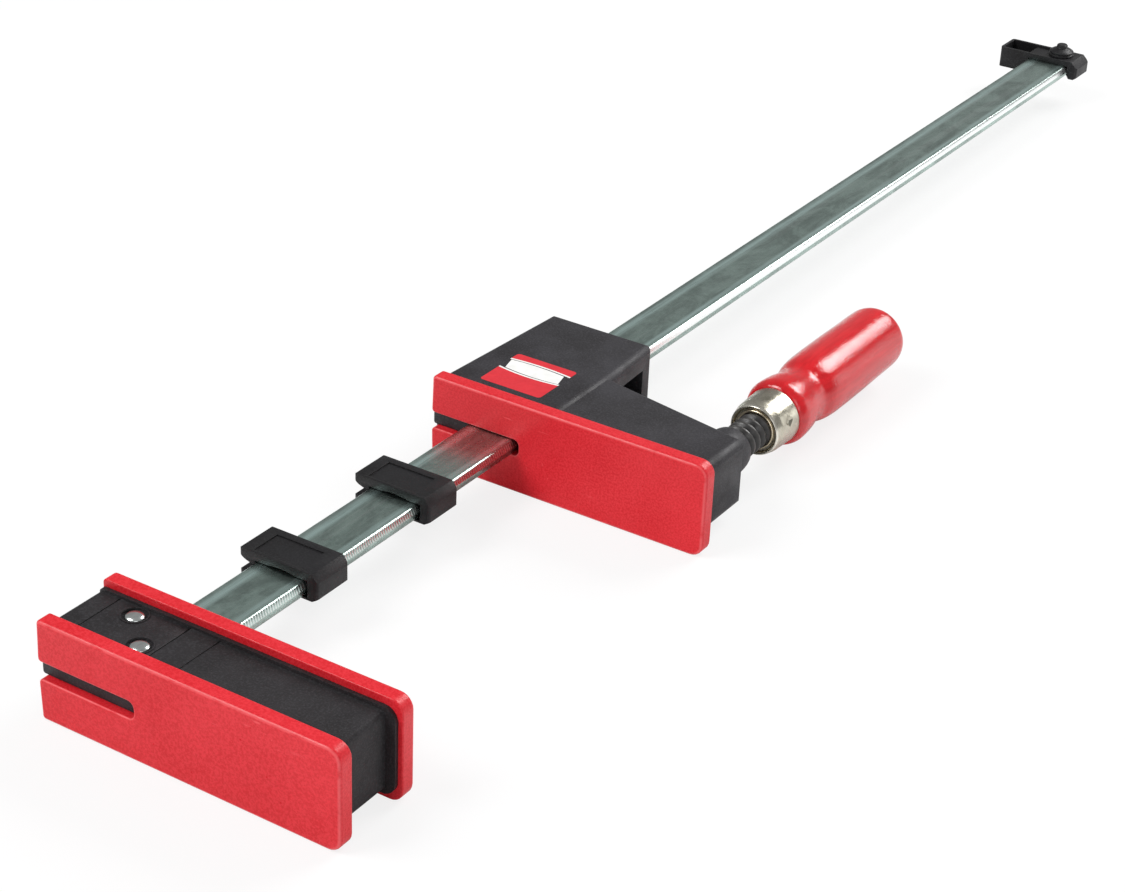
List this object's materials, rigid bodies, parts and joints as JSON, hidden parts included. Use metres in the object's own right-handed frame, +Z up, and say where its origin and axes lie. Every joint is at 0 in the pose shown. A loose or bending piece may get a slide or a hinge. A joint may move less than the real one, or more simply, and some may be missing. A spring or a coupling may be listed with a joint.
{
  "type": "parallel_clamp",
  "caption": "Parallel jaw bar clamp lying on its side: flat steel rail, red padded jaws, wooden screw handle, sliding work clips and an end clip.",
  "frame": {"origin": "centre of the fixed jaw's inner clamping face", "axes": "+Y runs along the rail towards the moving jaw and the end clip, +X is the way the jaws reach from the rail, +Z is up with the clamp lying on its side"},
  "size_m": [0.1217, 0.7516, 0.0374],
  "materials": {
    "rail_steel": "satin",
    "core_iron": "matte",
    "black_nylon": "matte",
    "red_pad": "satin",
    "bright_zinc": "bright",
    "clip_plastic": "matte",
    "plain_steel": "satin",
    "nut_steel": "satin",
    "black_steel": "satin",
    "nickel_plate": "satin",
    "collar_brass": "satin",
    "red_wood": "glossy lacquer"
  },
  "bodies": {
    "fixed_jaw": {"rail": "rail_steel", "fixed_core": "core_iron", "fixed_casing": "black_nylon", "outer_pad": "red_pad", "inner_pad": "red_pad", "rivet_inner": "bright_zinc", "rivet_outer": "bright_zinc", "end_clip": "clip_plastic", "end_pin": "clip_plastic"},
    "near_work_clip": {"near_clip": "clip_plastic"},
    "far_work_clip": {"far_clip": "clip_plastic"},
    "moving_jaw": {"slider_casing": "black_nylon", "arm_core": "core_iron", "grip_plate": "plain_steel", "moving_pad": "red_pad", "thrust_plate": "plain_steel", "spindle_nut": "nut_steel"},
    "swivel_shoe": {"pressure_shoe": "plain_steel", "shoe_keeper": "plain_steel"},
    "spindle": {"spindle_screw": "black_steel", "ferrule": "nickel_plate", "ferrule_collar": "collar_brass", "handle": "red_wood"}
  },
  "joints": [
    {"name": "near_clip_slide", "type": "slide", "parent": "fixed_jaw", "child": "near_work_clip", "axis": [0, 1, 0], "range_m": [-0.05, 0.0185]},
    {"name": "far_clip_slide", "type": "slide", "parent": "fixed_jaw", "child": "far_work_clip", "axis": [0, 1, 0], "range_m": [-0.027, 0.018]},
    {"name": "jaw_slide", "type": "slide", "parent": "fixed_jaw", "child": "moving_jaw", "axis": [0, 1, 0], "range_m": [-0.0245, 0.442]},
    {"name": "spindle_advance", "type": "slide", "parent": "moving_jaw", "child": "swivel_shoe", "axis": [0, -1, 0], "range_m": [0, 0.012]},
    {"name": "spindle_turn", "type": "hinge", "parent": "swivel_shoe", "child": "spindle", "pos_m": [0.0429, 0.2023, 0], "axis": [0, -1, 0], "range_deg": [0, 1080]}
  ],
  "couplings": [
    {"joint": "spindle_advance", "follows": "spindle_turn", "m_per_rad": 0.00063662}
  ]
}
